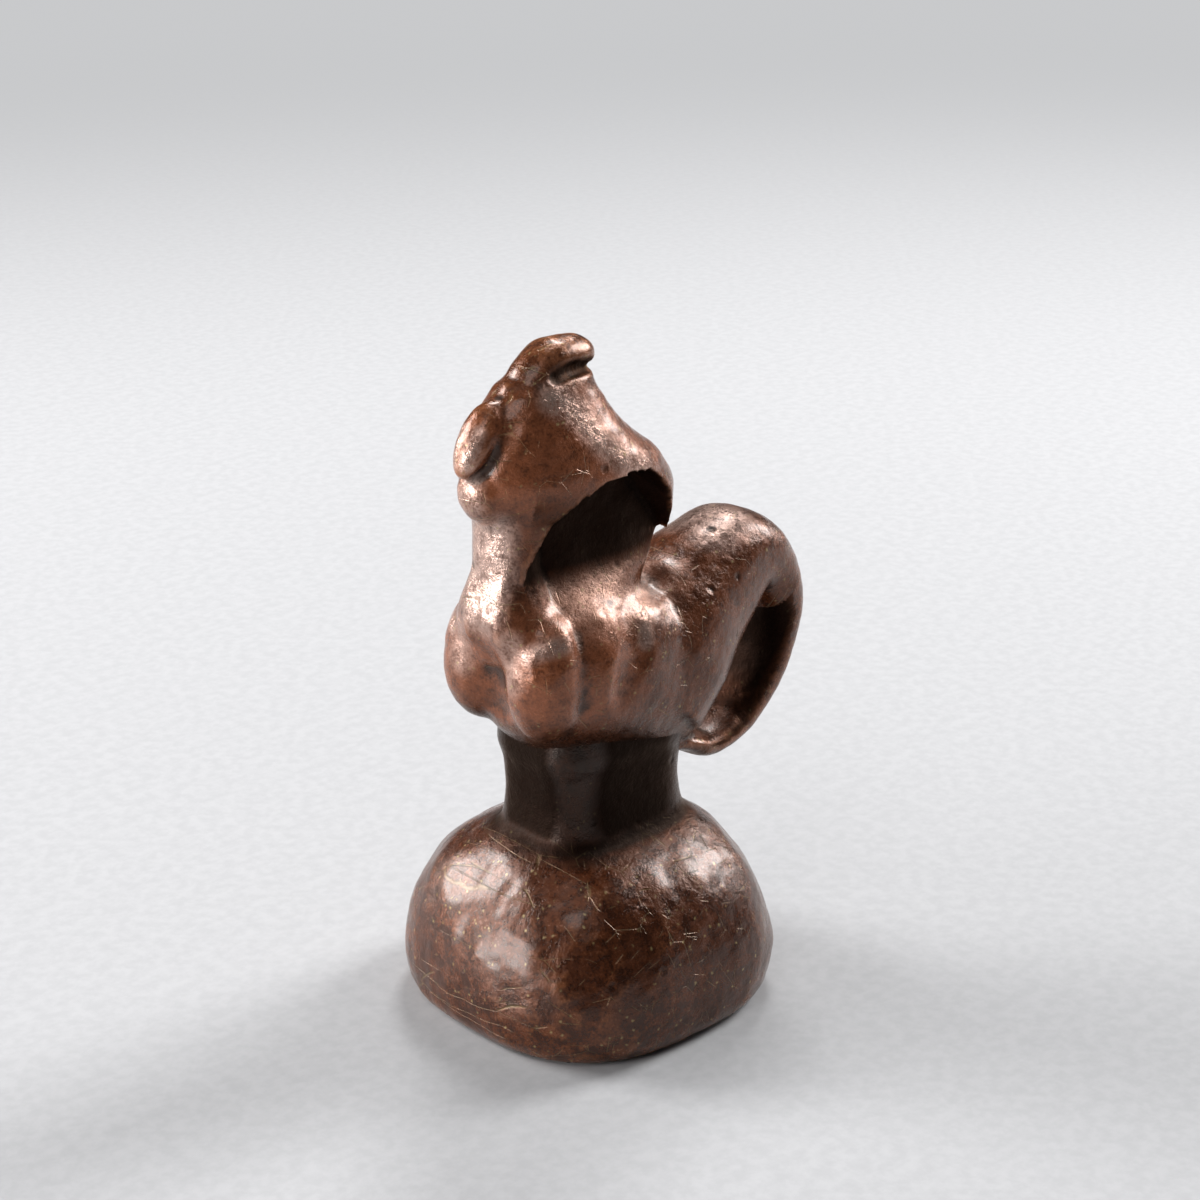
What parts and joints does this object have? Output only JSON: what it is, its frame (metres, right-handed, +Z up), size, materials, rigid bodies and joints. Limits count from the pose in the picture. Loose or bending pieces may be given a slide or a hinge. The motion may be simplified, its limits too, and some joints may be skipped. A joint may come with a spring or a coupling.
{
  "type": "figural market weight",
  "caption": "Small cast bronze weight: a stylised water bird with a hooded head and looped tail on a waisted pillar and a domed, rounded square base.",
  "frame": {"origin": "middle of the flat underside, under the middle of the base", "axes": "+Z up; the bird looks along -X and its tail loop is at +X; Y = 0 is the plane of symmetry, with the bird's left side at -Y"},
  "size_m": [0.0314, 0.024, 0.0479],
  "materials": {
    "bronze": "dark chocolate-brown patina, worn glossy, with coppery high points and faint speckling",
    "lead": "dull grey, hammered flush"
  },
  "bodies": {
    "root": {"base": "bronze", "adjusting_plug": "lead", "pillar": "bronze", "body": "bronze", "neck": "bronze", "hood": "bronze", "topknot": "bronze", "upper_bill": "bronze", "lower_bill": "bronze", "tail_loop": "bronze", "left_breast_lobe": "bronze", "right_breast_lobe": "bronze", "left_wing_lobe": "bronze", "right_wing_lobe": "bronze"}
  },
  "joints": []
}
